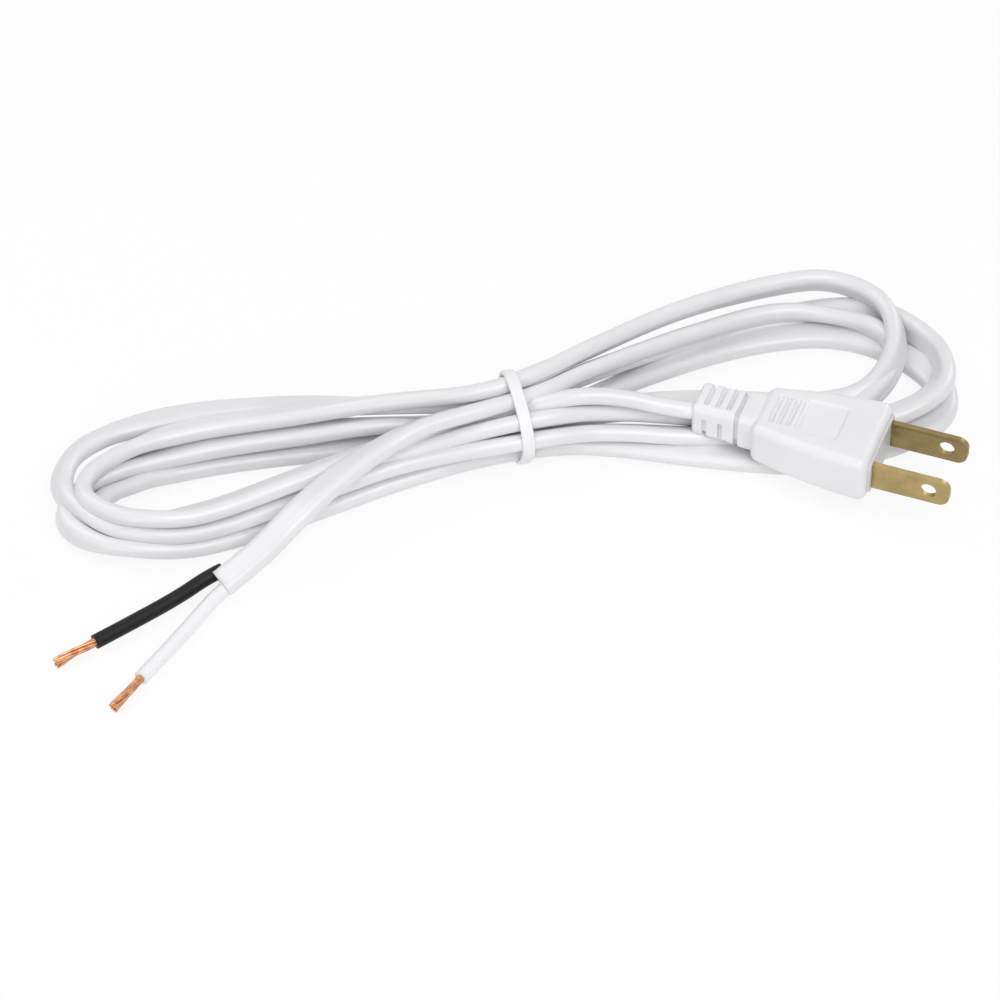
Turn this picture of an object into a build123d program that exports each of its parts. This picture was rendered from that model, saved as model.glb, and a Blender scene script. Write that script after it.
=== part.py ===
from build123d import *
import math
import os

os.makedirs("parts", exist_ok=True)

# A flat two-core power cord in millimetres, +Z up, lying on the plane z = 0. The hank's length runs along X.

# the flat cord
CORD_WIDTH = 6.2
CORD_THICKNESS = 3.6
CORE_DIAMETER = 2.9
COPPER_DIAMETER = 1.75
CORE_SPACING = 3.0
ARC_SHARE = 0.45

# the plug's pose: the centre of its front edge, its turn about Z, the height of its axis
PLUG_FRONT = (71.06, -12.9)
PLUG_TURN = -32.6
PLUG_AXIS_HEIGHT = 9.5

# the blades
BLADE_PITCH = 12.7
BLADE_WIDTH = 5.9
BLADE_THICKNESS = 1.2
BLADE_REACH = 16.2
BLADE_ROOT = 2.5
BLADE_TIP_RADIUS = 2.2
BLADE_HOLE_DIAMETER = 3.3
BLADE_HOLE_PLACE = 11.9
CRIMP_WALL = 0.55
CRIMP_LENGTH = 5.0

# the bridge that holds the blades: how thick its walls beside and above them are
BRIDGE_DEPTH = 7.0
BRIDGE_PROUD = 0.5
BRIDGE_SIDE_WALL = 1.35
BRIDGE_COVER = 0.85
BRIDGE_INSET = 1.6
BRIDGE_CORNER = 1.5
BRIDGE_WIDTH = BLADE_PITCH + BLADE_THICKNESS + 2 * BRIDGE_SIDE_WALL
BRIDGE_HEIGHT = BLADE_WIDTH + 2 * BRIDGE_COVER

# the plug's shell, in its own frame: X out along the blades, Y across them
SHELL_LENGTH = 24.8
SHELL_FRONT_WIDTH = BRIDGE_WIDTH + 2 * BRIDGE_INSET
SHELL_WAIST_WIDTH = 18.1
SHELL_WAIST_PLACE = 12.0
SHELL_REAR_WIDTH = 13.0
SHELL_FRONT_THICKNESS = BRIDGE_HEIGHT + 2 * BRIDGE_INSET
SHELL_REAR_THICKNESS = 9.6
SHELL_EDGE_RADIUS = 1.9
NECK_WIDTH = 9.4
NECK_THICKNESS = 8.5
NECK_LENGTH = 3.0
NECK_EDGE_RADIUS = 1.6

# the grip on the shell's two broad sides
GRIP_GROOVES = 4
GRIP_PITCH = 1.8
GRIP_REAR_WALL = 3.2
GRIP_FIRST = SHELL_LENGTH - GRIP_REAR_WALL
GRIP_WIDTH = 0.9
GRIP_LENGTH = 8.0
GRIP_DEPTH = 0.8
PANEL_LENGTH = 8.4
PANEL_WIDTH = 9.8
PANEL_DEPTH = 0.5
PANEL_CORNER = 0.8

# the strain relief
RELIEF_LENGTH = 9.9
RELIEF_REAR_WIDTH = 8.6
RELIEF_FRONT_WIDTH = 9.2
RELIEF_REAR_THICKNESS = 7.6
RELIEF_FRONT_THICKNESS = 8.2
RELIEF_EDGE_RADIUS = 1.6
RELIEF_RIM_RADIUS = 1.0
RELIEF_REAR = SHELL_LENGTH + NECK_LENGTH + RELIEF_LENGTH
SLOT_WIDTH = 0.9
SLOT_DEPTH = 1.2
BROAD_SLOTS = 3
BROAD_SLOT_PITCH = 2.34
BROAD_SLOT_INSET = 2.5
BROAD_SLOT_FIRST = RELIEF_REAR - BROAD_SLOT_INSET
BROAD_SLOT_LENGTH = 7.3
BROAD_SLOT_SHIFT = 0.95
SIDE_SLOTS = 2
SIDE_SLOT_PITCH = 3.3
SIDE_SLOT_INSET = 2.7
SIDE_SLOT_FIRST = RELIEF_REAR - SIDE_SLOT_INSET
SIDE_SLOT_LENGTH = 5.0
SIDE_SLOT_DROP = 1.4
COLLAR_SLOT_INSET = 0.6
COLLAR_SLOT_PLACE = SHELL_LENGTH + NECK_LENGTH + COLLAR_SLOT_INSET

# the jacket and the cores inside the plug, distances behind the front edge
JACKET_SET_BACK = 1.7
JACKET_END = SHELL_LENGTH + JACKET_SET_BACK
CORE_REAR_RUN = 4.0
CORE_BEND_REAR = JACKET_END - CORE_REAR_RUN
CRIMP_GAP = 1.3
CORE_END = BRIDGE_DEPTH + CRIMP_LENGTH + CRIMP_GAP
CORE_FRONT_RUN = 2.3
CORE_BEND_FRONT = CORE_END + CORE_FRONT_RUN

# the hank
HANK_BARREL_WIDTH = 16.0
HANK_BARREL_LOW = 1.2
HANK_BARREL_TOP = 16.6
HANK_BARREL_CORNER = 5.0
HANK_BARREL_Y = 11.5
HANK_BARREL_START = -14.0
HANK_BARREL_END = 22.0
HANK_LEFT_ROOT_TOP = 12.2
HANK_LEFT_TOP = 10.8
HANK_RIGHT_ROOT_TOP = 13.0
HANK_RIGHT_TOP = 10.6
HANK_SHOULDER = 40.0
HANK_NEAR_ROOT_TOP = 11.4
HANK_NEAR_SHOULDER = 34.0
HANK_NEAR_Y = 14.0
HANK_FAR_Y = 30.0

# the band
BAND_X = 3.0
BAND_WIDTH = 2.8
BAND_THICKNESS = 1.0

# the stripped ends
STRIP_LENGTH = 9.0
CORE_IN_JACKET = 1.0

# outlines of the hank's two loops and of the gaps in them, seen from above
LEFT_OUTLINE = [
    (-12.0, 3.5), (-30.0, 0.4), (-50.0, -4.0), (-66.0, -5.6), (-81.0, -2.6), (-89.6, 7.0), (-88.6, 18.5),
    (-80.0, 28.2), (-66.0, 33.2), (-50.0, 31.4), (-30.0, 25.0), (-12.0, 19.5),
]
LEFT_GAP = [
    (-36.0, 13.2), (-50.0, 8.6), (-66.0, 6.8), (-76.0, 9.2), (-78.2, 13.4), (-74.0, 16.6), (-60.0, 17.4),
    (-46.0, 16.4),
]
RIGHT_OUTLINE = [
    (20.0, 3.5), (34.0, -2.2), (50.0, -7.6), (66.0, -10.0), (81.0, -6.8), (91.0, 2.0), (94.4, 13.0),
    (93.8, 23.5), (89.0, 33.6), (77.0, 40.6), (63.0, 42.5), (48.0, 38.4), (36.0, 31.0), (20.0, 19.5),
]
RIGHT_GAP = [
    (31.0, 20.8), (42.0, 19.2), (54.0, 17.0), (66.0, 16.2), (76.0, 18.2), (82.0, 22.5), (82.4, 27.6),
    (77.0, 32.4), (66.0, 35.4), (54.0, 34.2), (42.0, 29.0),
]

# further out than any point of the hank
HANK_SPARE = 5.6
HANK_SPAN = max(abs(value) for point in LEFT_OUTLINE + RIGHT_OUTLINE for value in point) + HANK_SPARE

# the cord's route where it isn't wound, in order along the cord
PLUG_LEAD_STRAIGHT = 3.3
PLUG_LEAD_EXIT = RELIEF_REAR + PLUG_LEAD_STRAIGHT
PLUG_LEAD_ROUTE = [(20.0, 10.9, 13.8)]
FREE_LEAD_ROUTE = [
    (-10.0, 10.6, 14.4), (-17.0, 8.3, 14.6), (-26.5, 4.2, 14.0), (-36.0, -1.8, 13.4), (-44.6, -7.8, 11.6),
    (-52.8, -11.4, 6.4), (-61.0, -14.1, 2.3),
]
BLACK_CORE_ROUTE = [(-68.3, -15.7, 1.7), (-77.4, -20.0, 1.45), (-86.2, -24.3, 1.45)]
WHITE_CORE_ROUTE = [(-64.0, -18.8, 1.7), (-71.2, -27.2, 1.45), (-79.1, -35.5, 1.45)]


def plug_point(along, across, up=0.0):
    """A point of the plug's own frame, in the part's frame."""
    turn = math.radians(PLUG_TURN)
    x = PLUG_FRONT[0] + along * math.cos(turn) - across * math.sin(turn)
    y = PLUG_FRONT[1] + along * math.sin(turn) + across * math.cos(turn)
    return (x, y, PLUG_AXIS_HEIGHT + up)


def plug_location():
    """Where the plug's own frame lies in the part's frame."""
    return Location((PLUG_FRONT[0], PLUG_FRONT[1], PLUG_AXIS_HEIGHT), (0, 0, PLUG_TURN))


def outline_face(*edges):
    """A flat face inside a closed run of edges, facing up."""
    return make_face(Curve() + list(edges))


def prism(plane, points, reach):
    """A straight-sided outline on a plane through the origin, drawn out to both sides of it."""
    return extrude(plane * make_face(Polyline(*points, close=True)), amount=reach, both=True)


def arc_radii(points):
    """The largest arc that each corner's two runs allow."""
    spots = [Vector(*p) for p in points]
    radii = []
    for before, corner, after in zip(spots, spots[1:], spots[2:]):
        turn = math.radians((corner - before).get_angle(after - corner))
        shorter = min((corner - before).length, (after - corner).length)
        radii.append(ARC_SHARE * shorter / math.tan(turn / 2))
    return radii


def report_route(name, shape, area, path, radii):
    """Say how tight a route is, and how well its solid agrees with section times length."""
    share = shape.volume / (area * path.length)
    print(name, "length", round(path.length, 1), "arc radii", [round(r, 1) for r in radii])
    print(name, "volume over section times length", round(share, 4))


def flat_cord(name, points):
    """The plain flat jacket along a route, its broad sides level."""
    radii = arc_radii(points)
    path = Wire(FilletPolyline(*points, radius=radii).edges())
    level = Vector(0, 0, 1).cross(path % 0).normalized()
    section = Plane(origin=path @ 0, x_dir=level, z_dir=path % 0) * SlotOverall(CORD_WIDTH, CORD_THICKNESS)
    jacket = sweep(section, path=path)
    report_route(name, jacket, section.area, path, radii)
    return jacket


def round_core(name, points, diameter):
    """A round core along a route."""
    radii = arc_radii(points)
    path = Wire(FilletPolyline(*points, radius=radii).edges())
    section = Plane(origin=path @ 0, z_dir=path % 0) * Circle(diameter / 2)
    core = sweep(section, path=path)
    report_route(name, core, section.area, path, radii)
    return core


def straight_core(start, heading, length, diameter):
    """A straight round rod from a point along a heading."""
    return extrude(Plane(origin=start, z_dir=heading) * Circle(diameter / 2), amount=length)


def shell_block():
    """The plug's shell, tapered to the rear, before anything is cut in it."""
    half_rear = SHELL_REAR_WIDTH / 2
    half_front = SHELL_FRONT_WIDTH / 2
    half_waist = SHELL_WAIST_WIDTH / 2
    plan = outline_face(
        Line((0, -half_front), (0, half_front)),
        ThreePointArc((0, half_front), (-SHELL_WAIST_PLACE, half_waist), (-SHELL_LENGTH, half_rear)),
        Line((-SHELL_LENGTH, half_rear), (-SHELL_LENGTH, -half_rear)),
        ThreePointArc((-SHELL_LENGTH, -half_rear), (-SHELL_WAIST_PLACE, -half_waist), (0, -half_front)),
    )
    thick_front = SHELL_FRONT_THICKNESS / 2
    thick_rear = SHELL_REAR_THICKNESS / 2
    tall = extrude(plan, amount=SHELL_FRONT_THICKNESS, both=True)
    wide = prism(Plane.XZ, [
        (0, -thick_front), (0, thick_front), (-SHELL_LENGTH, thick_rear), (-SHELL_LENGTH, -thick_rear),
    ], SHELL_FRONT_WIDTH)
    block = tall & wide
    return fillet(block.edges(), SHELL_EDGE_RADIUS)


def neck_block():
    """The neck between the shell and the strain relief, run well into the shell."""
    start = -SHELL_LENGTH - NECK_LENGTH
    length = NECK_LENGTH + SHELL_EDGE_RADIUS * 2
    block = Pos(start + length / 2, 0, 0) * Box(length, NECK_WIDTH, NECK_THICKNESS)
    return fillet(block.edges().filter_by(Axis.X), NECK_EDGE_RADIUS)


def relief_block():
    """The strain relief, a rounded sleeve that narrows to the rear."""
    front = -SHELL_LENGTH - NECK_LENGTH
    rear = front - RELIEF_LENGTH
    across = Plane(origin=(rear, 0, 0), x_dir=(0, 1, 0), z_dir=(1, 0, 0))
    rear_face = across * RectangleRounded(RELIEF_REAR_WIDTH, RELIEF_REAR_THICKNESS, RELIEF_EDGE_RADIUS)
    front_face = across.offset(RELIEF_LENGTH) * RectangleRounded(
        RELIEF_FRONT_WIDTH, RELIEF_FRONT_THICKNESS, RELIEF_EDGE_RADIUS)
    sleeve = loft([rear_face.face(), front_face.face()])
    return fillet(sleeve.edges().group_by(Axis.X)[0], RELIEF_RIM_RADIUS)


def relief_slots():
    """The slots that let the strain relief bend: over one edge of each broad side, on the narrow sides, and a
    ring where the sleeve meets the neck."""
    slots = []
    for i in range(BROAD_SLOTS):
        x = -BROAD_SLOT_FIRST + i * BROAD_SLOT_PITCH
        for side in (1, -1):
            z = side * RELIEF_FRONT_THICKNESS / 2
            slots.append(Pos(x, side * BROAD_SLOT_SHIFT, z) * Box(SLOT_WIDTH, BROAD_SLOT_LENGTH, 2 * SLOT_DEPTH))
    for i in range(SIDE_SLOTS):
        x = -SIDE_SLOT_FIRST + i * SIDE_SLOT_PITCH
        for side in (1, -1):
            y = side * RELIEF_FRONT_WIDTH / 2
            z = side * SIDE_SLOT_DROP
            slots.append(Pos(x, y, z) * Box(SLOT_WIDTH, 2 * SLOT_DEPTH, SIDE_SLOT_LENGTH))
    ring = Box(SLOT_WIDTH, 2 * NECK_WIDTH, 2 * NECK_THICKNESS)
    ring -= Box(SLOT_WIDTH, RELIEF_FRONT_WIDTH - 2 * SLOT_DEPTH, RELIEF_FRONT_THICKNESS - 2 * SLOT_DEPTH)
    slots.append(Pos(-COLLAR_SLOT_PLACE, 0, 0) * ring)
    return slots


def grip_cuts():
    """Grooves and a plain recessed panel on both broad sides of the shell."""
    cuts = []
    slope = math.degrees(math.atan((SHELL_FRONT_THICKNESS - SHELL_REAR_THICKNESS) / 2 / SHELL_LENGTH))
    for side in (1, -1):
        for i in range(GRIP_GROOVES):
            x = -GRIP_FIRST + i * GRIP_PITCH
            z = side * (SHELL_FRONT_THICKNESS / 2 + x * math.tan(math.radians(slope)))
            cuts.append(Pos(x, 0, z) * Box(GRIP_WIDTH, GRIP_LENGTH, 2 * GRIP_DEPTH))
        x = -GRIP_FIRST + (GRIP_GROOVES - 1) * GRIP_PITCH + PANEL_LENGTH / 2
        z = side * (SHELL_FRONT_THICKNESS / 2 + x * math.tan(math.radians(slope)))
        panel = Box(PANEL_LENGTH, PANEL_WIDTH, 2 * PANEL_DEPTH)
        panel = fillet(panel.edges().filter_by(Axis.Z), PANEL_CORNER)
        cuts.append(Location((x, 0, z), (0, -side * slope, 0)) * panel)
    return cuts


def blade(side):
    """One flat blade with its hole and the crimp barrel on its inner end."""
    across = side * BLADE_PITCH / 2
    root = BRIDGE_DEPTH + BLADE_ROOT
    plate = Pos((BLADE_REACH - root) / 2, across, 0) * Box(BLADE_REACH + root, BLADE_THICKNESS, BLADE_WIDTH)
    tips = plate.edges().filter_by(Axis.Y).group_by(Axis.X)[-1]
    plate = fillet(tips, BLADE_TIP_RADIUS)
    hole = Cylinder(BLADE_HOLE_DIAMETER / 2, 2 * BLADE_THICKNESS, rotation=(90, 0, 0))
    plate -= Pos(BLADE_HOLE_PLACE, across, 0) * hole
    middle = Pos(-BRIDGE_DEPTH - CRIMP_LENGTH / 2, crimp_place(side), 0)
    barrel = middle * Cylinder(COPPER_DIAMETER / 2 + CRIMP_WALL, CRIMP_LENGTH, rotation=(0, 90, 0))
    bore = middle * Cylinder(COPPER_DIAMETER / 2, CRIMP_LENGTH, rotation=(0, 90, 0))
    return plate + barrel - bore


def crimp_place(side):
    """How far the crimp's axis lies from the plug's axis: its barrel sits in the blade's inner side."""
    return side * (BLADE_PITCH / 2 - BLADE_THICKNESS / 2 - COPPER_DIAMETER / 2)


def bridge():
    """The block between the blades, proud of the shell's face."""
    length = BRIDGE_DEPTH + BRIDGE_PROUD
    block = Pos((BRIDGE_PROUD - BRIDGE_DEPTH) / 2, 0, 0) * Box(length, BRIDGE_WIDTH, BRIDGE_HEIGHT)
    return fillet(block.edges().filter_by(Axis.X), BRIDGE_CORNER)


def plug_core_route(side):
    """From the jacket's end to the crimp, in the part's frame."""
    near = side * CORE_SPACING / 2
    far = crimp_place(side)
    return [
        plug_point(-JACKET_END, near), plug_point(-CORE_BEND_REAR, near),
        plug_point(-CORE_BEND_FRONT, far), plug_point(-CORE_END, far),
    ]


def loop_slab(outline, gap, height):
    """One loop of the hank seen from above, drawn up to a height."""
    plan = outline_face(Spline(*outline), Line(outline[-1], outline[0]))
    eye = outline_face(Spline(*gap, periodic=True))
    return extrude(plan - eye, amount=height)


def barrel(grow=0.0, start=HANK_BARREL_START, end=HANK_BARREL_END):
    """The waist of the hank, where the band holds its passes together."""
    height = HANK_BARREL_TOP - HANK_BARREL_LOW
    middle = (HANK_BARREL_TOP + HANK_BARREL_LOW) / 2
    section = Plane(origin=(start, HANK_BARREL_Y, middle), x_dir=(0, 1, 0), z_dir=(1, 0, 0)) * RectangleRounded(
        HANK_BARREL_WIDTH + 2 * grow, height + 2 * grow, HANK_BARREL_CORNER + grow)
    return extrude(section, amount=end - start)


def hank():
    """The wound cord as one closed solid: two flat loops that meet in the waist."""
    near_top = PLUG_AXIS_HEIGHT - SHELL_FRONT_THICKNESS / 2
    left = loop_slab(LEFT_OUTLINE, LEFT_GAP, HANK_BARREL_TOP) & prism(Plane.XZ, [
        (0, 0), (0, HANK_LEFT_ROOT_TOP), (HANK_BARREL_START, HANK_LEFT_ROOT_TOP),
        (-HANK_SHOULDER, HANK_LEFT_TOP), (-HANK_SPAN, HANK_LEFT_TOP), (-HANK_SPAN, 0),
    ], HANK_SPAN)
    right = loop_slab(RIGHT_OUTLINE, RIGHT_GAP, HANK_BARREL_TOP)
    far = right & prism(Plane.XZ, [
        (0, 0), (0, HANK_RIGHT_ROOT_TOP), (HANK_BARREL_END, HANK_RIGHT_ROOT_TOP),
        (HANK_SHOULDER, HANK_RIGHT_TOP), (HANK_SPAN, HANK_RIGHT_TOP), (HANK_SPAN, 0),
    ], HANK_SPAN)
    far &= prism(Plane.YZ, [
        (-HANK_SPAN, 0), (-HANK_SPAN, near_top), (HANK_NEAR_Y, near_top), (HANK_FAR_Y, HANK_RIGHT_TOP),
        (HANK_FAR_Y, HANK_BARREL_TOP), (HANK_SPAN, HANK_BARREL_TOP), (HANK_SPAN, 0),
    ], HANK_SPAN)
    near = right & prism(Plane.XZ, [
        (0, 0), (0, HANK_NEAR_ROOT_TOP), (HANK_BARREL_END, HANK_NEAR_ROOT_TOP),
        (HANK_NEAR_SHOULDER, near_top), (HANK_NEAR_SHOULDER, 0),
    ], HANK_SPAN)
    return barrel() + left + far + near


def tie_band():
    """The band, a flat strap that fits round the waist."""
    start = BAND_X - BAND_WIDTH / 2
    end = BAND_X + BAND_WIDTH / 2
    return barrel(BAND_THICKNESS, start, end) - barrel(0.0, start, end)


# the leads and the wound cord
hank_solid = hank()
plug_lead_route = [plug_point(-JACKET_END, 0), plug_point(-PLUG_LEAD_EXIT, 0)] + PLUG_LEAD_ROUTE
plug_lead = flat_cord("plug_lead", plug_lead_route) - hank_solid
free_lead = flat_cord("free_lead", FREE_LEAD_ROUTE) - hank_solid
band = tie_band()

# the stripped cores at the free end
end = Vector(*FREE_LEAD_ROUTE[-1])
heading = (end - Vector(*FREE_LEAD_ROUTE[-2])).normalized()
left_hand = Vector(0, 0, 1).cross(heading).normalized()
ends = {}
for name, side, route in (("black", -1, BLACK_CORE_ROUTE), ("white", 1, WHITE_CORE_ROUTE)):
    start = end + left_hand * (side * CORE_SPACING / 2) - heading * CORE_IN_JACKET
    ends[name + "_core"] = round_core(name + "_core", [tuple(start)] + route, CORE_DIAMETER)
    tip_heading = Vector(*route[-1]) - Vector(*route[-2])
    ends[name + "_copper"] = straight_core(route[-1], tip_heading, STRIP_LENGTH, COPPER_DIAMETER)
    free_lead -= ends[name + "_core"]

# the plug
blades = {"line_blade": blade(1), "neutral_blade": blade(-1)}
bridge_block = bridge()
for piece in blades.values():
    bridge_block -= piece
plug_heading = Vector(*plug_point(1, 0)) - Vector(*plug_point(0, 0))
plug_parts = {"blade_bridge": plug_location() * bridge_block}
for name, piece in blades.items():
    plug_parts[name] = plug_location() * piece
for name, side in (("black", 1), ("white", -1)):
    core = round_core("plug_core_" + name, plug_core_route(side), CORE_DIAMETER)
    copper = straight_core(plug_point(-CORE_END, crimp_place(side)), plug_heading, CORE_END - BRIDGE_DEPTH,
                           COPPER_DIAMETER)
    plug_parts["plug_core_" + name] = core
    plug_parts["plug_copper_" + name] = copper
lead_in_plug = plug_location().inverse() * plug_lead
plug_body = shell_block() + (neck_block() - lead_in_plug) + (relief_block() - lead_in_plug)
for cut in grip_cuts() + relief_slots():
    plug_body -= cut
plug_body = plug_location() * plug_body
for piece in plug_parts.values():
    plug_body -= piece

pieces = {
    "plug_body": plug_body,
    **plug_parts,
    "plug_lead": plug_lead,
    "cord_hank": hank_solid,
    "tie_band": band,
    "free_lead": free_lead,
    **ends,
}
for name, piece in pieces.items():
    export_step(piece.solid(), "parts/" + name + ".step")
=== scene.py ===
import math

import bmesh
import bpy
from bpy.props import FloatProperty, FloatVectorProperty, IntProperty, PointerProperty
from mathutils import Matrix, Vector


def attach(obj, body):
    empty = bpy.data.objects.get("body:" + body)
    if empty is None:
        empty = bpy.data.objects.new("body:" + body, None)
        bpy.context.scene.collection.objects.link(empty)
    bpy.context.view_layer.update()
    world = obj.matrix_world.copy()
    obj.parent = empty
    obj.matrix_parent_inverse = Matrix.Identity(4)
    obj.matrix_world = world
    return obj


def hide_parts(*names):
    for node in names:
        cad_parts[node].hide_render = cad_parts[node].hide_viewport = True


bl_info = {
    "name": "Power Cord Hank",
    "version": (1, 0, 0),
    "blender": (4, 5, 0),
    "location": "View3D > Sidebar > Cord",
    "description": "Builds the looks of a wound flat power cord with a two-blade plug and stripped ends",
    "category": "Object",
}

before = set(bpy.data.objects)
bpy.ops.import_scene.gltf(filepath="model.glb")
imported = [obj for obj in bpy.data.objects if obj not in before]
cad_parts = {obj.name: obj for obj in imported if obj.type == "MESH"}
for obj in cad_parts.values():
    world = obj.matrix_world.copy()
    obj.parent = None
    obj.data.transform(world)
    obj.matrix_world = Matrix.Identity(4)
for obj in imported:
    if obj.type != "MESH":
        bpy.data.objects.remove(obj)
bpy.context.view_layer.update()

MM = 0.001
BODY = "root"

# the plug's turn about Z in degrees
PLUG_TURN = -32.6

# The flat cord's route: control points in millimetres, each with its flat section's roll in degrees.
# A half turn has a near leg and a far leg, each (y, z, roll) at the stations' distances from x = 0,
# and a bend of points (x, y, z, roll) from near to far. A half turn's roll is how far the section's
# wide axis rises from outwards.
STATIONS = (20.0, 42.0, 62.0)
HALF_TURNS = {
    "L2": dict(side=-1, near=((9.8, 10.0, 40), (3.9, 9.0, 28), (-2.0, 8.8, 28)),
               bend=((74.3, -1.3, 8.9, 60), (83.3, 4.8, 9.0, 88),
                     (83.4, 12.2, 8.9, 112), (74.6, 19.2, 8.6, 128)),
               far=((19.4, 11.6, 140), (22.4, 9.0, 158), (23.0, 8.4, 158))),
    "A": dict(side=1, near=((17.8, 2.8, 180), (16.6, 2.1, 176), (9.6, 2.6, 164)),
              bend=((75.0, 8.4, 3.6, 132), (83.8, 17.4, 6.4, 116),
                    (85.5, 31.2, 7.8, 110), (75.6, 40.2, 9.0, 118)),
              far=((25.0, 12.3, 124), (35.2, 10.8, 124), (39.5, 9.8, 118))),
    "L3": dict(side=-1, near=((7.6, 2.7, 0), (1.9, 1.8, 0), (-3.4, 2.2, 4)),
               bend=((78.4, -3.1, 3.7, 46), (87.7, 5.0, 3.6, 85),
                     (86.7, 12.4, 3.6, 110), (77.7, 17.8, 4.5, 135)),
               far=((17.4, 7.6, 140), (20.4, 5.8, 170), (20.4, 5.4, 170))),
    "C": dict(side=1, near=((8.8, 2.8, 180), (0.4, 1.8, 180), (-5.9, 1.9, 178)),
              bend=((86.4, -1.0, 1.9, 180), (91.8, 9.6, 2.0, 184),
                    (87.0, 20.6, 2.0, 184), (76.5, 30.0, 1.9, 180)),
              far=((19.6, 4.8, 150), (29.4, 2.3, 172), (32.8, 1.8, 180))),
    "L4": dict(side=-1, near=((8.6, 7.4, 40), (6.0, 2.8, 10), (3.6, 2.2, 0)),
               bend=((72.0, 3.3, 3.5, 45), (80.6, 6.6, 3.4, 80),
                     (81.0, 11.3, 3.5, 110), (73.0, 15.5, 3.3, 145)),
               far=((15.9, 3.4, 180), (19.6, 1.9, 180), (19.5, 2.1, 180))),
    "D": dict(side=1, near=((11.2, 8.6, 40), (10.2, 4.4, 20), (4.0, 1.9, 2)),
              bend=((76.0, 0.4, 5.2, 20), (88.0, 3.6, 6.8, 30),
                    (93.2, 15.4, 4.8, 76), (89.0, 27.6, 3.8, 74), (81.2, 35.2, 3.6, 56)),
              far=((22.2, 8.6, -35), (33.8, 3.6, -15), (37.4, 2.3, 0))),
    "L1": dict(side=-1, near=((7.4, 6.4, 30), (3.1, 5.4, 6), (-2.7, 5.3, 8)),
               bend=((77.5, -1.1, 5.7, 50), (86.4, 8.4, 6.6, 90),
                     (86.9, 18.2, 6.4, 124), (79.2, 27.0, 6.0, 148)),
               far=((20.0, 9.9, 140), (27.0, 7.4, 165), (30.0, 6.0, 172))),
    "B": dict(side=1, near=((8.0, 6.2, 40), (4.6, 3.2, 30), (2.6, 2.7, 10)),
              bend=((77.4, 10.2, 3.6, 60), (84.2, 19.6, 4.0, 90),
                    (82.6, 27.0, 4.4, 105), (75.0, 33.0, 5.0, 135)),
              far=((21.2, 10.8, 138), (31.4, 6.4, 122), (36.2, 5.6, 118))),
}
# where each pass lies at the band: its left and its right point, each (y, z, rise of the near edge)
PASSES = {
    "plug": ((14.0, 8.4, 40), (12.2, 12.0, 42)),
    "A": ((15.6, 13.6, 42), (18.6, 14.2, 42)),
    "X": ((16.6, 2.9, 0), (16.8, 2.9, 0)),
    "P4": ((9.8, 3.1, 10), (10.0, 3.1, 10)),
    "C": ((12.4, 5.4, 30), (13.6, 5.2, 30)),
    "P2": ((8.4, 10.9, 44), (8.8, 11.2, 44)),
    "D": ((17.0, 9.8, 40), (17.6, 9.6, 40)),
    "P3": ((6.1, 8.0, 42), (6.3, 8.2, 42)),
    "lead": ((11.3, 13.4, 42), (14.6, 12.6, 42)),
}
# the order along the cord: a pass and the way it runs, then a half turn and the leg that it starts with
ORDER = (
    ("plug", -1, "L2", "near"), ("A", 1, "A", "far"), ("X", -1, "L3", "far"),
    ("P4", 1, "C", "near"), ("C", -1, "L4", "far"), ("P2", 1, "D", "near"),
    ("D", -1, "L1", "far"), ("P3", 1, "B", "near"), ("lead", -1, None, None),
)
BAND_X = 3.0
PASS_REACH = 6.0
PLUG_END = [(44.9, 3.8, 9.5, 40), (38.4, 7.0, 9.0, 42), (32.0, 8.4, 10.2, 42),
            (25.2, 10.2, 12.2, 42), (16.5, 11.2, 13.7, 42)]
FREE_END = [(-16.0, 8.6, 14.2, 40), (-26.0, 4.4, 13.2, 28), (-36.0, -1.6, 12.4, 14),
            (-45.0, -8.0, 10.2, 4), (-52.6, -11.9, 5.6, 0), (-60.2, -15.0, 2.7, -2)]

# how finely the splines are followed: steps for each control point
CORD_STEPS = 14
CORE_STEPS = 12

# how far the ends of the cord and of the cores are softened, as a share of their section
CORD_END = 0.04
CORE_END = 0.06

# the flat section: how soon its flat part ends, and how wide its groove is against that part
FLAT_PULL = 2.2
GROOVE_SPREAD = 0.55

# the strap: points round its loop, rounds of smoothing, and its slack round the passes
STRAP_POINTS = 120
STRAP_SMOOTHING = 30
STRAP_SLACK = 0.3 * MM
STRAP_CORNER = 0.38

# softened edges of the block between the blades and of the blades
BLOCK_EDGE = 0.3 * MM
BLADE_EDGE = 0.28 * MM

# the wires of a stripped end: their share of the bundle, how far they run into the insulation,
# how much the bundle turns (radians) and spreads along its length
WIRE_SHARE = 0.16
WIRE_INSIDE = 1.0 * MM
WIRE_TWIST = 2.2
WIRE_SPREAD = 0.18
WIRE_SWAY = 0.035
MIDDLE_LENGTH = 0.985
MIDDLE_SHARE = 0.8

# noise scales of the moulded plastic: cloudiness, skin and specks
CLOUD = 55.0
SKIN = 1500.0
SPECKS = 420.0

# how much darker or paler than the brass each blade is painted: painted shade on the line blade and
# painted light on the neutral blade, for how the light falls on each
BLADE_LIGHT_AND_SHADE = {"line_blade": 0.8, "neutral_blade": 1.25}

# each lamp's place, width and power
LAMPS = {
    "key": ((-0.55, 0.35, 0.95), 0.9, 4.1),
    "fill": ((0.25, -0.65, 1.00), 0.9, 7.0),
    "low": ((-0.45, -0.90, 0.32), 0.6, 2.0),
    "edge": ((0.80, 0.50, 0.45), 0.5, 1.3),
}
CAMERA_PLACE = (-0.13629, -0.63042, 0.62163)
CAMERA_AIM = (0.14956, 0.70362, -0.69466)

# how much of the floor's own light the camera sees, which keeps the object's shadow on it
FLOOR_GLOW = 0.87

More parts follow.
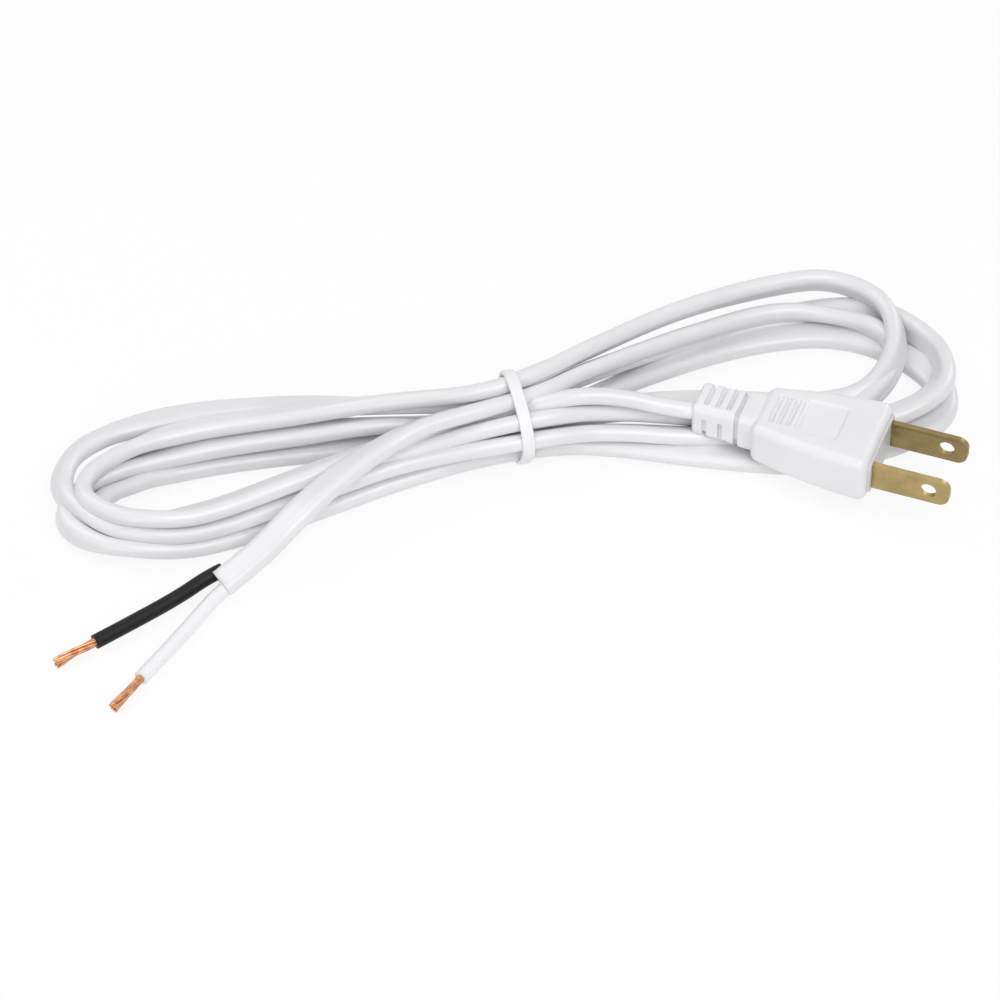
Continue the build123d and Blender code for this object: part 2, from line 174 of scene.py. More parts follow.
# the stripped cores: control points in millimetres, the last one where the insulation ends
CORES = {
    "black": [(-59.5, -11.6, 2.9), (-62.4, -12.4, 2.5), (-68.5, -15.8, 1.8),
              (-77.4, -20.1, 1.5), (-86.2, -24.3, 1.5)],
    "white": [(-57.6, -14.6, 2.2), (-60.5, -16.2, 2.0), (-65.3, -21.1, 1.7),
              (-71.4, -27.7, 1.5), (-79.1, -35.5, 1.5)],
}


class CordSizes(bpy.types.PropertyGroup):
    """The flat cord and the strap round it"""

    width: FloatProperty(name="Width", description="Width of the flat cord",
                         default=6.2 * MM, unit="LENGTH")
    thickness: FloatProperty(name="Thickness", description="Thickness of the flat cord",
                             default=3.6 * MM, unit="LENGTH")
    groove: FloatProperty(name="Groove", description="Depth of the groove along each broad side",
                          default=0.16 * MM, unit="LENGTH")
    band_width: FloatProperty(name="Band Width", description="Width of the strap round the hank",
                              default=2.5 * MM, unit="LENGTH")
    band_thickness: FloatProperty(name="Band Thickness", description="Thickness of the strap",
                                  default=0.9 * MM, unit="LENGTH")
    band_lean: FloatProperty(name="Band Lean", default=0.07,
                             description="How far the strap's near side leans to the plug, per length")
    colour: FloatVectorProperty(name="Jacket Colour", description="Colour of the cord's jacket",
                                subtype="COLOR", default=(0.78, 0.78, 0.80), min=0, max=1)
    band_colour: FloatVectorProperty(name="Band Colour", description="Colour of the strap",
                                     subtype="COLOR", default=(0.86, 0.86, 0.87), min=0, max=1)


class PlugSizes(bpy.types.PropertyGroup):
    """The plug's moulding, block and blades"""

    detail: FloatProperty(name="Detail", default=0.18 * MM, unit="LENGTH",
                          description="Size of the cells that round the plug's moulded edges")
    rounding: IntProperty(name="Rounding", default=3,
                          description="How often the moulded surface is smoothed")
    colour: FloatVectorProperty(name="Plug Colour", description="Colour of the moulded body",
                                subtype="COLOR", default=(0.81, 0.81, 0.83), min=0, max=1)
    # the block's colour is painted darker than the body's, a painted shade for the shade on the plug's
    # front
    bridge_shade_colour: FloatVectorProperty(name="Bridge Colour", subtype="COLOR",
                                       description="Colour of the block between the blades",
                                       default=(0.62, 0.62, 0.63), min=0, max=1)
    blade_colour: FloatVectorProperty(name="Blade Colour", description="Colour of the plated blades",
                                      subtype="COLOR", default=(0.38, 0.285, 0.13), min=0, max=1)


class EndSizes(bpy.types.PropertyGroup):
    """The stripped cores at the free end"""

    insulation: FloatProperty(name="Insulation", description="Diameter of an insulated core",
                              default=2.9 * MM, unit="LENGTH")
    copper: FloatProperty(name="Copper", description="Diameter of a stripped core's copper",
                          default=1.75 * MM, unit="LENGTH")
    strip: FloatProperty(name="Strip Length", description="Length of the bare copper",
                         default=9.0 * MM, unit="LENGTH")
    strands: IntProperty(name="Strands", default=8,
                         description="Strands on the outside of a copper bundle")
    copper_colour: FloatVectorProperty(name="Copper Colour", description="Colour of the strands",
                                       subtype="COLOR", default=(0.72, 0.36, 0.19), min=0, max=1)
    black: FloatVectorProperty(name="Black Insulation", description="Colour of the black core",
                               subtype="COLOR", default=(0.010, 0.010, 0.011), min=0, max=1)
    white: FloatVectorProperty(name="White Insulation", description="Colour of the white core",
                               subtype="COLOR", default=(0.87, 0.87, 0.89), min=0, max=1)


class StageSizes(bpy.types.PropertyGroup):
    """Floor, light and lens"""

    floor: FloatProperty(name="Floor", description="Side of the floor", default=4.0, unit="LENGTH")
    floor_colour: FloatVectorProperty(name="Floor Colour", description="Colour of the floor",
                                      subtype="COLOR", default=(0.94, 0.94, 0.94), min=0, max=1)
    sky: FloatProperty(name="Sky", description="Strength of the even light from all round",
                       default=0.34)
    lens: FloatProperty(name="Lens", description="Focal length in millimetres", default=163.6)


class Flow:
    """A node's output that takes part in sums: each operator adds the Math node for it."""

    def __init__(self, tree, socket):
        self.tree = tree
        self.socket = socket

    def node(self, kind, inputs=None, out=0, **settings):
        """Adds any other node, with settings and inputs by name or number, and gives one output."""
        made = self.tree.nodes.new(kind)
        for key, value in settings.items():
            setattr(made, key, value)
        for key, value in (inputs or {}).items():
            if isinstance(value, Flow):
                self.tree.links.new(value.socket, made.inputs[key])
            else:
                made.inputs[key].default_value = value
        return Flow(self.tree, made.outputs[out])

    def sum(self, operation, first, second):
        return self.node("ShaderNodeMath", {0: first, 1: second}, operation=operation)

    def __add__(self, other):
        return self.sum("ADD", self, other)

    def __radd__(self, other):
        return self.sum("ADD", other, self)

    def __mul__(self, other):
        return self.sum("MULTIPLY", self, other)

    def __truediv__(self, other):
        return self.sum("DIVIDE", self, other)

    def mapped(self, low, high, to_low=0.0, to_high=1.0):
        """This value's range from low to high, drawn out smoothly to another range."""
        return self.node("ShaderNodeMapRange", {"Value": self, "From Min": low, "From Max": high,
                                                "To Min": to_low, "To Max": to_high},
                         interpolation_type="SMOOTHSTEP")


def solid(colour):
    """A colour with its alpha."""
    return (*colour[:3], 1.0)


def shade(colour, share):
    """A darker or paler version of a colour."""
    return solid([min(1.0, part * share) for part in colour])


def surface(name, build):
    """A material whose principled shader is set up by build(start, shader)."""
    material = bpy.data.materials.new(name)
    material.use_nodes = True
    tree = material.node_tree
    shader = tree.nodes["Principled BSDF"]
    start = Flow(tree, None)
    build(start, shader)
    return material


def feed(start, shader, name, value):
    """Sets one of the shader's inputs, to a constant or to a flow."""
    if isinstance(value, Flow):
        start.tree.links.new(value.socket, shader.inputs[name])
    else:
        shader.inputs[name].default_value = value


def object_place(start):
    return start.node("ShaderNodeTexCoord", out="Object")


def noise(start, scale, detail=4.0, roughness=0.55, place=None):
    """Noise from 0 to 1 in the object's own coordinates."""
    return start.node("ShaderNodeTexNoise", {"Vector": place or object_place(start), "Scale": scale,
                                             "Detail": detail, "Roughness": roughness}, out="Fac")


def blend(start, share, first, second):
    """One colour mixed into another."""
    return start.node("ShaderNodeMix", {"Factor": share, 6: first, 7: second}, out=2,
                      data_type="RGBA")


def bump(start, height, depth):
    return start.node("ShaderNodeBump", {"Strength": 1.0, "Distance": depth, "Height": height},
                      out="Normal")


def moulded(name, colour, roughness, coat, grain=0.02, gloss=0.5):
    """Soft moulded plastic: slight cloudiness, uneven gloss and a fine skin."""
    def build(start, shader):
        cloud = noise(start, CLOUD, 3.0)
        skin = noise(start, SKIN, 5.0)
        specks = noise(start, SPECKS, 2.0).mapped(0.66, 0.74)
        tone = blend(start, cloud.mapped(0.3, 0.7), shade(colour, 0.975), shade(colour, 1.015))
        feed(start, shader, "Base Color", blend(start, specks * 0.25, tone, shade(colour, 0.93)))
        feed(start, shader, "Roughness", cloud * 0.10 + skin * 0.06 + (roughness - 0.08))
        feed(start, shader, "Normal", bump(start, skin + cloud * 3.0, grain * MM))
        feed(start, shader, "Coat Weight", coat)
        feed(start, shader, "Coat Roughness", 0.18)
        feed(start, shader, "IOR", 1.5)
        feed(start, shader, "Specular IOR Level", gloss)
    return surface(name, build)


def plated(name, colour):
    """Brass sheet with brushed lines along it and dull patches."""
    def build(start, shader):
        place = object_place(start)
        turned = start.node("ShaderNodeMapping", {
            "Vector": place, "Rotation": (0, 0, math.radians(-PLUG_TURN)),
            "Scale": (60.0, 900.0, 900.0)})
        lines = noise(start, 1.0, 3.0, place=turned)
        patches = noise(start, 260.0, 5.0, 0.6)
        tone = blend(start, patches.mapped(0.35, 0.7), solid(colour), shade(colour, 0.8))
        feed(start, shader, "Base Color", tone)
        feed(start, shader, "Metallic", 1.0)
        feed(start, shader, "Roughness", lines * 0.12 + patches * 0.14 + 0.24)
        feed(start, shader, "Normal", bump(start, lines, 0.02 * MM))
    return surface(name, build)


def drawn_copper(name, colour):
    """Bare copper wire with slight tarnish."""
    def build(start, shader):
        tarnish = noise(start, 600.0, 4.0)
        tone = blend(start, tarnish.mapped(0.4, 0.7), solid(colour), shade(colour, 0.6))
        feed(start, shader, "Base Color", tone)
        feed(start, shader, "Metallic", 0.9)
        feed(start, shader, "Roughness", tarnish * 0.2 + 0.26)
        feed(start, shader, "Normal", bump(start, tarnish, 0.01 * MM))
    return surface(name, build)


def link_mesh(name, mesh, material=None, smooth=True):
    """A new object at the origin for a finished mesh."""
    made = bpy.data.objects.new(name, mesh)
    bpy.context.scene.collection.objects.link(made)
    if material is not None:
        mesh.materials.clear()
        mesh.materials.append(material)
    mesh.shade_smooth() if smooth else mesh.shade_flat()
    return made


def applied(holder, name):
    """The holder's mesh with its modifiers, as a plain mesh; the holder goes."""
    bpy.context.view_layer.update()
    mesh = bpy.data.meshes.new_from_object(holder.evaluated_get(bpy.context.evaluated_depsgraph_get()))
    mesh.name = name
    bpy.data.objects.remove(holder)
    return mesh


def nurbs_line(name, points, steps):
    """Points along the NURBS spline that has these control points, in metres."""
    curve = bpy.data.curves.new(name, "CURVE")
    curve.dimensions = "3D"
    curve.resolution_u = steps
    spline = curve.splines.new("NURBS")
    spline.points.add(len(points) - 1)
    for spot, point in zip(spline.points, points):
        spot.co = (point[0] * MM, point[1] * MM, point[2] * MM, 1.0)
    spline.order_u = 3
    spline.use_endpoint_u = True
    holder = bpy.data.objects.new(name, curve)
    bpy.context.scene.collection.objects.link(holder)
    bpy.context.view_layer.update()
    mesh = bpy.data.meshes.new_from_object(holder.evaluated_get(bpy.context.evaluated_depsgraph_get()))
    line = [vertex.co.copy() for vertex in mesh.vertices]
    bpy.data.objects.remove(holder)
    return line


def rolls_along(points, count):
    """The roll at each of the line's points, which is a control point's own where that pulls most."""
    last = len(points) - 2.0
    peaks = [0.0] + [i - 0.5 for i in range(1, len(points) - 1)] + [last]
    rolls = []
    k = 0
    for i in range(count):
        place = last * i / (count - 1)
        while k < len(peaks) - 2 and place > peaks[k + 1]:
            k += 1
        share = (place - peaks[k]) / (peaks[k + 1] - peaks[k])
        share = share * share * (3 - 2 * share)
        rolls.append(math.radians(points[k][3] * (1 - share) + points[k + 1][3] * share))
    return rolls


def section_axes(line, rolls):
    """For each point of a line, the wide and the thin axis of the section there."""
    axes = []
    for i, roll in enumerate(rolls):
        heading = (line[min(i + 1, len(line) - 1)] - line[max(i - 1, 0)]).normalized()
        level = Vector((0, 0, 1)).cross(heading).normalized()
        rise = heading.cross(level)
        wide = level * math.cos(roll) + rise * math.sin(roll)
        axes.append((wide, heading.cross(wide)))
    return axes


def flat_outline(width, thickness, groove, count=36):
    """The cord's section: rounded sides, flat between them, a shallow groove in each broad side."""
    radius = thickness / 2
    half_flat = width / 2 - radius
    outline = []
    for i in range(count):
        turn = 2 * math.pi * (i + 0.5) / count
        across = math.cos(turn) * radius
        up = math.sin(turn) * radius
        along = half_flat * max(-1.0, min(1.0, math.cos(turn) * FLAT_PULL))
        wide = across + along
        dip = groove * math.exp(-(wide / (half_flat * GROOVE_SPREAD)) ** 2)
        outline.append((wide, up - math.copysign(dip, up)))
    return outline


def round_outline(diameter, count=24):
    turns = [2 * math.pi * i / count for i in range(count)]
    return [(math.cos(turn) * diameter / 2, math.sin(turn) * diameter / 2) for turn in turns]


def tube_mesh(name, line, axes, outline, edge=0.0):
    """A closed tube of one outline along a line, its end faces with a softened edge."""
    made = bmesh.new()
    rings = []
    first = (line[0] - line[1]).normalized()
    last = (line[-1] - line[-2]).normalized()
    stops = [(line[0], axes[0], 1 - edge)] if edge else []
    stops += [(spot, pair, 1.0) for spot, pair in zip(line, axes)]
    stops += [(line[-1], axes[-1], 1 - edge)] if edge else []
    for k, (spot, (wide, thin), size) in enumerate(stops):
        push = Vector((0, 0, 0))
        if edge and k == 0:
            push = first * edge * outline[0][0] * 0.5
        elif edge and k == len(stops) - 1:
            push = last * edge * outline[0][0] * 0.5
        rings.append([made.verts.new(spot + push + (wide * a + thin * b) * size) for a, b in outline])
    count = len(outline)
    for before, after in zip(rings, rings[1:]):
        for i in range(count):
            j = (i + 1) % count
            made.faces.new((before[i], before[j], after[j], after[i]))
    made.faces.new(list(reversed(rings[0])))
    made.faces.new(rings[-1])
    bmesh.ops.recalc_face_normals(made, faces=made.faces)
    mesh = bpy.data.meshes.new(name)
    made.to_mesh(mesh)
    made.free()
    return mesh


def sharpen(mesh, degrees=40.0):
    """Marks the edges that turn by more than this as sharp."""
    mesh.shade_smooth()
    mesh.set_sharp_from_angle(angle=math.radians(degrees))


def half_turn(name, start_leg):
    """One half turn's control points in the order of travel."""
    turn = HALF_TURNS[name]
    side = turn["side"]
    points = [(x, *leg) for x, leg in zip(STATIONS, turn["near"])]
    points += turn["bend"]
    points += [(x, *leg) for x, leg in reversed(list(zip(STATIONS, turn["far"])))]
    if start_leg == "far":
        points.reverse()
    left_is_out = (side < 0) == (start_leg == "near")
    return [(side * x, y, z, roll if left_is_out else -roll) for x, y, z, roll in points]


def cord_route():
    """The whole cord's control points, from the plug to the cut end, their rolls without jumps."""
    points = list(PLUG_END)
    ends = (BAND_X - PASS_REACH, BAND_X + PASS_REACH)
    for name, way, turn, leg in ORDER:
        pair = [(x, y, z, -way * roll) for x, (y, z, roll) in zip(ends, PASSES[name])]
        points += pair if way > 0 else pair[::-1]
        if turn:
            points += half_turn(turn, leg)
    route = []
    last = 0.0
    for x, y, z, roll in points + FREE_END:
        last = roll + 180.0 * round((last - roll) / 180.0)
        route.append((x, y, z, last))
    return route


def cord_line():
    """Points along the cord's spline."""
    return nurbs_line("cord_route", cord_route(), CORD_STEPS)


def hull(points):
    """The corners of the smallest convex outline round flat points, in order."""
    points = sorted(set(points))
    chains = []
    for run in (points, points[::-1]):
        chain = []
        for p in run:
            while len(chain) > 1:
                (ax, ay), (bx, by) = chain[-2], chain[-1]
                if (bx - ax) * (p[1] - ay) - (by - ay) * (p[0] - ax) > 0:
                    break
                chain.pop()
            chain.append(p)
        chains += chain[:-1]
    return chains


def even_loop(corners, count, rounds):
    """A closed outline resampled at even steps and smoothed."""
    corners = [Vector(c) for c in corners]
    sides = [(b - a).length for a, b in zip(corners, corners[1:] + corners[:1])]
    total = sum(sides)
    loop = []
    for i in range(count):
        place = total * i / count
        k = 0
        while place > sides[k]:
            place -= sides[k]
            k += 1
        loop.append(corners[k].lerp(corners[(k + 1) % len(corners)], place / sides[k]))
    for _ in range(rounds):
        loop = [(loop[i - 1] + loop[i] * 2 + loop[(i + 1) % count]) / 4 for i in range(count)]
    return loop


def strap_mesh(name, loop, width, thickness, x, lean):
    """A closed strap round an outline in Y and Z, its edges rounded, leaning along X by a share of Y."""
    outline = []
    corner = thickness * STRAP_CORNER
    for sx, sy, start in ((1, 1, 0), (-1, 1, 90), (-1, -1, 180), (1, -1, 270)):
        for step in range(5):
            turn = math.radians(start + step * 22.5)
            outline.append((sx * (width / 2 - corner) + math.cos(turn) * corner,
                            sy * (thickness / 2 - corner) + math.sin(turn) * corner))
    made = bmesh.new()
    rings = []
    count = len(loop)
    for i, spot in enumerate(loop):
        way = (loop[(i + 1) % count] - loop[i - 1]).normalized()
        out = Vector((way.y, -way.x))
        rings.append([made.verts.new((x - lean * spot.x + a, *(spot + out * b))) for a, b in outline])
    for i in range(count):
        before, after = rings[i], rings[(i + 1) % count]
        for k in range(len(outline)):
            n = (k + 1) % len(outline)
            made.faces.new((before[k], before[n], after[n], after[k]))
    bmesh.ops.recalc_face_normals(made, faces=made.faces)
    mesh = bpy.data.meshes.new(name)
    made.to_mesh(mesh)
    made.free()
    return mesh


def merged_copy(node, name):
    """A CAD node's mesh as one closed surface, as a new object."""
    made = bmesh.new()
    made.from_mesh(bpy.data.objects[node].data)
    bmesh.ops.remove_doubles(made, verts=made.verts, dist=1e-6)
    mesh = bpy.data.meshes.new(name)
    made.to_mesh(mesh)
    made.free()
    holder = bpy.data.objects.new(name, mesh)
    bpy.context.scene.collection.objects.link(holder)
    return holder


def remoulded(node, name, cell, rounds):
    """A CAD node with its edges rounded as a mould leaves them."""
    holder = merged_copy(node, name + "_cad")
    cells = holder.modifiers.new("cells", "REMESH")
    cells.mode = "VOXEL"
    cells.voxel_size = cell
    smooth = holder.modifiers.new("smooth", "SMOOTH")
    smooth.factor = 0.5
    smooth.iterations = rounds
    return applied(holder, name)


def bevelled(node, name, width, segments=3):
    """A CAD node with its sharp edges softened."""
    holder = merged_copy(node, name + "_cad")
    made = bmesh.new()
    made.from_mesh(holder.data)
    bmesh.ops.dissolve_limit(made, angle_limit=math.radians(2), verts=made.verts, edges=made.edges)
    made.to_mesh(holder.data)
    made.free()
    edge = holder.modifiers.new("edge", "BEVEL")
    edge.width = width
    edge.segments = segments
    edge.limit_method = "ANGLE"
    edge.angle_limit = math.radians(35)
    return applied(holder, name)


def strand_nodes():
    """Geometry nodes for a twisted bundle of wires that spreads towards its end, along +X."""
    tree = bpy.data.node_groups.new("wire_bundle", "GeometryNodeTree")
    tree.interface.new_socket("Geometry", in_out="OUTPUT", socket_type="NodeSocketGeometry")
    for name, kind in (("Strands", "Int"), ("Length", "Float"), ("Ring", "Float"), ("Wire", "Float"),
                       ("Twist", "Float"), ("Spread", "Float"), ("Seed", "Int"), ("Finish", "Material")):
        tree.interface.new_socket(name, in_out="INPUT", socket_type="NodeSocket" + kind)
    entry = tree.nodes.new("NodeGroupInput")
    start = Flow(tree, None)
    given = {socket.name: Flow(tree, socket) for socket in entry.outputs if socket.name}

    def along(share=1.0):
        end = start.node("ShaderNodeCombineXYZ", {"X": given["Length"] * share})
        line = start.node("GeometryNodeCurvePrimitiveLine", {"End": end})
        return start.node("GeometryNodeResampleCurve", {"Curve": line, "Count": 32})

    def wire(curve, radius):
        ring = start.node("GeometryNodeCurvePrimitiveCircle", {"Resolution": 10, "Radius": radius})
        return start.node("GeometryNodeCurveToMesh",
                          {"Curve": curve, "Profile Curve": ring, "Fill Caps": True})

    place = start.node("ShaderNodeSeparateXYZ", {"Vector": start.node("GeometryNodeInputPosition")})
    share = place / given["Length"]
    angle = share * given["Twist"]
    ring = given["Ring"] * (1.0 + given["Spread"] * share * share)
    spiral = start.node("ShaderNodeCombineXYZ", {
        "X": place, "Y": ring * start.node("ShaderNodeMath", {0: angle}, operation="COSINE"),
        "Z": ring * start.node("ShaderNodeMath", {0: angle}, operation="SINE")})
    wound = start.node("GeometryNodeSetPosition", {"Geometry": along(), "Position": spiral})
    spots = start.node("GeometryNodeMeshLine", {"Count": given["Strands"], "Offset": (0, 0, 0)})
    order = start.node("GeometryNodeInputIndex")
    sway = [start.node("FunctionNodeRandomValue", {"Min": -WIRE_SWAY, "Max": WIRE_SWAY, "ID": order,
                                                   "Seed": given["Seed"] + offset}, out="Value")
            for offset in (0, 1, 2)]
    for value in sway:
        value.socket.node.data_type = "FLOAT"
    sway = [Flow(tree, value.socket.node.outputs[1]) for value in sway]
    spin = start.node("ShaderNodeCombineXYZ", {
        "X": (order + sway[2] * 3.0) * (2 * math.pi) / given["Strands"], "Y": sway[0], "Z": sway[1]})
    bundle = start.node("GeometryNodeInstanceOnPoints", {
        "Points": spots, "Instance": wire(wound, given["Wire"]), "Rotation": spin})
    whole = start.node("GeometryNodeJoinGeometry", {"Geometry": bundle})
    middle = wire(along(MIDDLE_LENGTH), given["Ring"] * MIDDLE_SHARE)
    tree.links.new(middle.socket, whole.socket.node.inputs[0])
    real = start.node("GeometryNodeRealizeInstances", {"Geometry": whole})
    done = start.node("GeometryNodeSetMaterial", {"Geometry": real, "Material": given["Finish"]})
    leave = tree.nodes.new("NodeGroupOutput")
    tree.links.new(done.socket, leave.inputs["Geometry"])
    return tree


def copper_mesh(name, tree, finish, seed, origin, heading, sizes):
    """One stripped copper end, from the nodes, laid along a heading."""
    holder = bpy.data.objects.new(name, bpy.data.meshes.new(name))
    bpy.context.scene.collection.objects.link(holder)
    nodes = holder.modifiers.new("bundle", "NODES")
    nodes.node_group = tree
    wire = sizes.copper * WIRE_SHARE
    values = {"Strands": sizes.strands, "Length": sizes.strip + WIRE_INSIDE,
              "Ring": sizes.copper / 2 - wire, "Wire": wire, "Twist": WIRE_TWIST,
              "Spread": WIRE_SPREAD, "Seed": seed, "Finish": finish}
    for item in tree.interface.items_tree:
        if item.in_out == "INPUT":
            nodes[item.identifier] = values[item.name]
    holder.update_tag()
    mesh = applied(holder, name)
    turn = heading.to_track_quat("X", "Z").to_matrix().to_4x4()
    mesh.transform(Matrix.Translation(origin - heading * WIRE_INSIDE) @ turn)
    return mesh


def settle(made, nodes):
    """Says what a finished piece rides on, and hides the CAD parts that it stands for."""
    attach(made, BODY)
    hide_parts(*nodes)


class CORD_OT_stage(bpy.types.Operator):
    """Floor, lamps, world and camera"""

    bl_idname = "cord.stage"
    bl_label = "Stage"

    def execute(self, context):
        sizes = context.scene.stage_sizes
        scene = context.scene
        scene.view_settings.view_transform = "Standard"
        half = sizes.floor / 2
        mesh = bpy.data.meshes.new("floor")
        corners = [(-half, -half, 0), (half, -half, 0), (half, half, 0), (-half, half, 0)]
        mesh.from_pydata(corners, [], [(0, 1, 2, 3)])
        floor = link_mesh("floor", mesh, self.floor_surface(sizes.floor_colour), smooth=False)
        self.sky(scene, sizes.sky)
        for name, (place, size, power) in LAMPS.items():
            self.lamp(name, place, size, power)
        camera = bpy.data.objects.new("camera", bpy.data.cameras.new("camera"))
        scene.collection.objects.link(camera)
        camera.location = CAMERA_PLACE
        camera.rotation_euler = Vector(CAMERA_AIM).to_track_quat("-Z", "Y").to_euler()
        camera.data.lens = sizes.lens
        scene.camera = camera
        return {"FINISHED"}

    def seen(self, start):
        """1 for what the camera, gloss or glass sees, 0 for the light that falls on things."""
        path = start.node("ShaderNodeLightPath", out="Is Camera Ray")
        lights = path.socket.node.outputs
        glossy = Flow(start.tree, lights["Is Glossy Ray"])
        clear = Flow(start.tree, lights["Is Transmission Ray"])
        return start.node("ShaderNodeMath", {0: path + glossy + clear, 1: 1.0}, operation="MINIMUM")

    def floor_surface(self, colour):
        material = bpy.data.materials.new("floor")
        material.use_nodes = True
        tree = material.node_tree
        tree.nodes.clear()
        start = Flow(tree, None)
        mottle = noise(start, 3.0, 2.0)
        tone = blend(start, mottle.mapped(0.3, 0.7), shade(colour, 0.99), solid(colour))
        paper = start.node("ShaderNodeBsdfDiffuse", {"Color": tone})
        white = start.node("ShaderNodeEmission", {"Color": (1, 1, 1, 1), "Strength": 1.0})
        mix = start.node("ShaderNodeMixShader", {0: self.seen(start) * FLOOR_GLOW, 1: paper, 2: white})
        leave = tree.nodes.new("ShaderNodeOutputMaterial")
        tree.links.new(mix.socket, leave.inputs["Surface"])
        return material

    def sky(self, scene, strength):
        world = bpy.data.worlds.new("world")
        world.use_nodes = True
        tree = world.node_tree
        tree.nodes.clear()
        start = Flow(tree, None)
        level = self.seen(start) * (1.0 - strength) + strength
        light = start.node("ShaderNodeBackground", {"Color": (1, 1, 1, 1), "Strength": level})
        leave = tree.nodes.new("ShaderNodeOutputWorld")
        tree.links.new(light.socket, leave.inputs["Surface"])
        scene.world = world

    def lamp(self, name, place, size, power):
        light = bpy.data.lights.new(name, "AREA")
        light.shape = "DISK"
        light.size = size
        light.energy = power
        made = bpy.data.objects.new(name, light)
        bpy.context.scene.collection.objects.link(made)
        made.location = place
        made.rotation_euler = (-Vector(place)).to_track_quat("-Z", "Y").to_euler()


class CORD_OT_cord(bpy.types.Operator):
    """The flat cord along its whole route, from the plug to the cut end"""

    bl_idname = "cord.cord"
    bl_label = "Cord"

    def execute(self, context):
        sizes = context.scene.cord_sizes
        line = cord_line()
        axes = section_axes(line, rolls_along(cord_route(), len(line)))
        outline = flat_outline(sizes.width, sizes.thickness, sizes.groove)
        mesh = tube_mesh("cord", line, axes, outline, edge=CORD_END)
        cord = link_mesh("cord", mesh, moulded("cord_jacket", sizes.colour, 0.30, 0.25))
        sharpen(mesh, 55.0)
        settle(cord, ("plug_lead", "cord_hank", "free_lead"))
        return {"FINISHED"}


class CORD_OT_band(bpy.types.Operator):
    """The strap that holds the hank's passes together"""

    bl_idname = "cord.band"
    bl_label = "Band"

    def execute(self, context):
        sizes = context.scene.cord_sizes
        outline = flat_outline(sizes.width, sizes.thickness, 0.0)
        spots = []
        for (y0, z0, r0), (y1, z1, r1) in PASSES.values():
            y, z, roll = (y0 + y1) / 2 * MM, (z0 + z1) / 2 * MM, math.radians((r0 + r1) / 2)
            for wide, thin in outline:
                spots.append((y - math.cos(roll) * wide + math.sin(roll) * thin,
                              z + math.sin(roll) * wide + math.cos(roll) * thin))
        lift = sizes.band_thickness / 2 + STRAP_SLACK
        loop = even_loop(hull(spots), STRAP_POINTS, STRAP_SMOOTHING)
        count = len(loop)
        raised = []
        for i, spot in enumerate(loop):
            way = (loop[(i + 1) % count] - loop[i - 1]).normalized()
            raised.append(spot + Vector((way.y, -way.x)) * lift)
        middle = BAND_X * MM + sizes.band_lean * max(spot.x for spot in raised)
        mesh = strap_mesh("tie_strap", raised, sizes.band_width, sizes.band_thickness,
                          middle, sizes.band_lean)
        strap = link_mesh("tie_strap", mesh, moulded("strap", sizes.band_colour, 0.48, 0.0, 0.03))
        settle(strap, ("tie_band",))
        return {"FINISHED"}


class CORD_OT_plug(bpy.types.Operator):
    """The plug's moulded body and the block between its blades"""

    bl_idname = "cord.plug"
    bl_label = "Plug"

    def execute(self, context):
        sizes = context.scene.plug_sizes
        mesh = remoulded("plug_body", "plug_shell", sizes.detail, sizes.rounding)
        shell = link_mesh("plug_shell", mesh, moulded("plug_pvc", sizes.colour, 0.36, 0.15, 0.03))
        settle(shell, ("plug_body",))
        mesh = bevelled("blade_bridge", "bridge_block", BLOCK_EDGE)
        # the block's plastic carries painted shade: darker than the body, for the shade on the plug's
        # front
        finish = moulded("bridge_plastic", sizes.bridge_shade_colour, 0.45, 0.0, 0.03)
        block = link_mesh("bridge_block", mesh, finish)
        sharpen(mesh)
        settle(block, ("blade_bridge",))
        return {"FINISHED"}


class CORD_OT_blades(bpy.types.Operator):
    """The two flat blades and their crimps"""

    bl_idname = "cord.blades"
    bl_label = "Blades"

    def execute(self, context):
        brass = context.scene.plug_sizes.blade_colour
        # the line blade's brass carries painted shade and the neutral blade's carries painted light, for
        # how the light falls on each
        for node, tone in BLADE_LIGHT_AND_SHADE.items():
            mesh = bevelled(node, node + "_plate", BLADE_EDGE)
            plate = link_mesh(node + "_plate", mesh, plated(node + "_brass", shade(brass, tone)))
            sharpen(mesh)
            settle(plate, (node,))
        return {"FINISHED"}


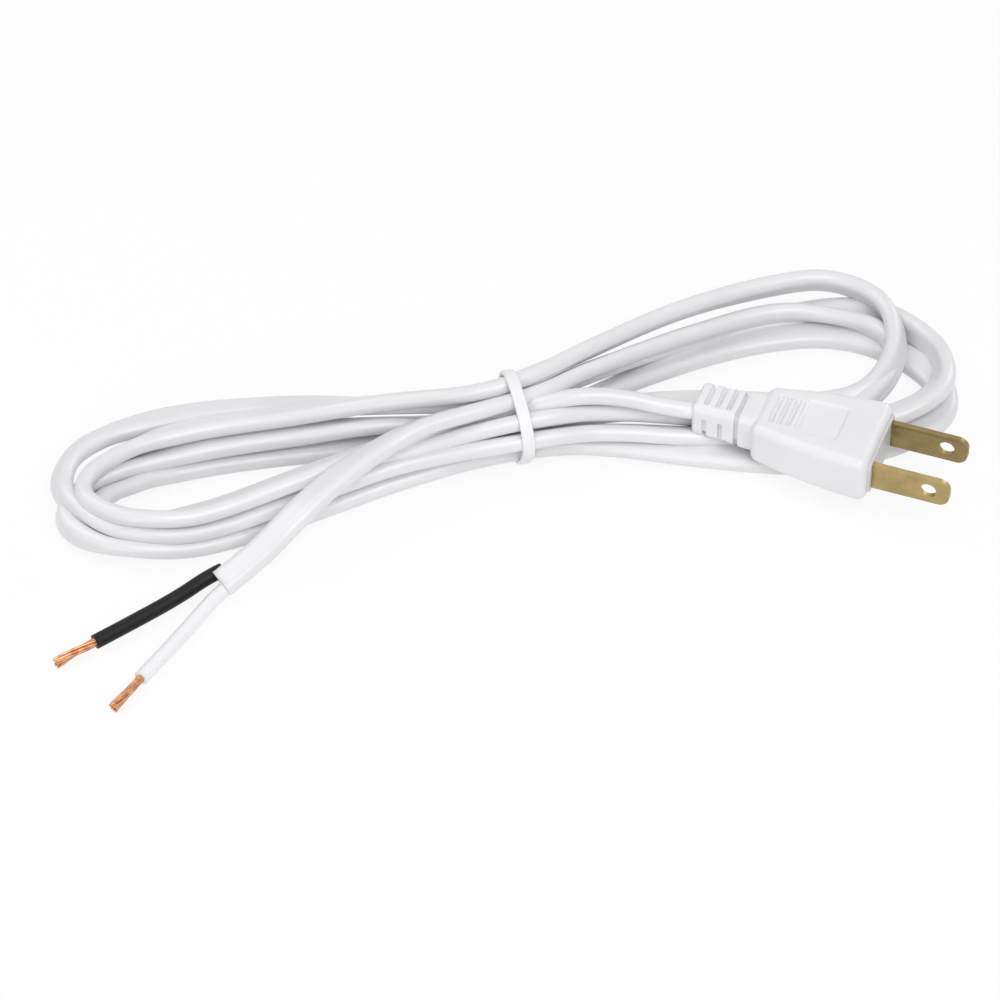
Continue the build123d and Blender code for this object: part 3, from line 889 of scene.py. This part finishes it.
class CORD_OT_ends(bpy.types.Operator):
    """The stripped cores at the free end and the cores inside the plug"""

    bl_idname = "cord.ends"
    bl_label = "Cores"

    def execute(self, context):
        sizes = context.scene.end_sizes
        skins = {"black": moulded("black_skin", sizes.black, 0.42, 0.0, gloss=0.2),
                 "white": moulded("white_skin", sizes.white, 0.34, 0.2)}
        copper = drawn_copper("copper_wire", sizes.copper_colour)
        tree = strand_nodes()
        on_it = []
        for seed, (name, route) in enumerate(CORES.items()):
            line = nurbs_line(name + "_route", route, CORE_STEPS)
            axes = section_axes(line, [0.0] * len(line))
            outline = round_outline(sizes.insulation)
            mesh = tube_mesh(name + "_insulation", line, axes, outline, edge=CORE_END)
            skin = link_mesh(name + "_insulation", mesh, skins[name])
            sharpen(mesh, 55.0)
            settle(skin, (name + "_core",))
            heading = (line[-1] - line[-3]).normalized()
            mesh = copper_mesh(name + "_wires", tree, copper, seed * 7 + 3, line[-1], heading, sizes)
            wires = link_mesh(name + "_wires", mesh)
            settle(wires, (name + "_copper",))
            on_it += [skin, wires]
            inside = (("plug_core_" + name, skins[name]), ("plug_copper_" + name, copper))
            for node, finish in inside:
                inner = bpy.data.objects[node]
                inner.data.materials.clear()
                inner.data.materials.append(finish)
        [tuple(spot) for spot in cord_line()]
        return {"FINISHED"}


class CORD_PT_panel(bpy.types.Panel):
    """Lists the build steps"""

    bl_idname = "CORD_PT_panel"
    bl_label = "Power Cord"
    bl_space_type = "VIEW_3D"
    bl_region_type = "UI"
    bl_category = "Cord"

    def draw(self, context):
        for group in GROUPS:
            box = self.layout.box()
            for name in getattr(context.scene, group).bl_rna.properties.keys():
                if name not in ("rna_type", "name"):
                    box.prop(getattr(context.scene, group), name)
        for step in STEPS:
            self.layout.operator(step.bl_idname)


STEPS = (CORD_OT_stage, CORD_OT_cord, CORD_OT_band, CORD_OT_plug, CORD_OT_blades, CORD_OT_ends)
GROUPS = {"cord_sizes": CordSizes, "plug_sizes": PlugSizes, "end_sizes": EndSizes,
          "stage_sizes": StageSizes}


def register():
    for name, group in GROUPS.items():
        bpy.utils.register_class(group)
        setattr(bpy.types.Scene, name, PointerProperty(type=group))
    for kind in (*STEPS, CORD_PT_panel):
        bpy.utils.register_class(kind)


def unregister():
    for kind in (CORD_PT_panel, *reversed(STEPS)):
        bpy.utils.unregister_class(kind)
    for name, group in GROUPS.items():
        delattr(bpy.types.Scene, name)
        bpy.utils.unregister_class(group)


def main():
    register()
    for step in STEPS:
        area, action = step.bl_idname.split(".")
        getattr(getattr(bpy.ops, area), action)()


if __name__ == "__main__":
    main()
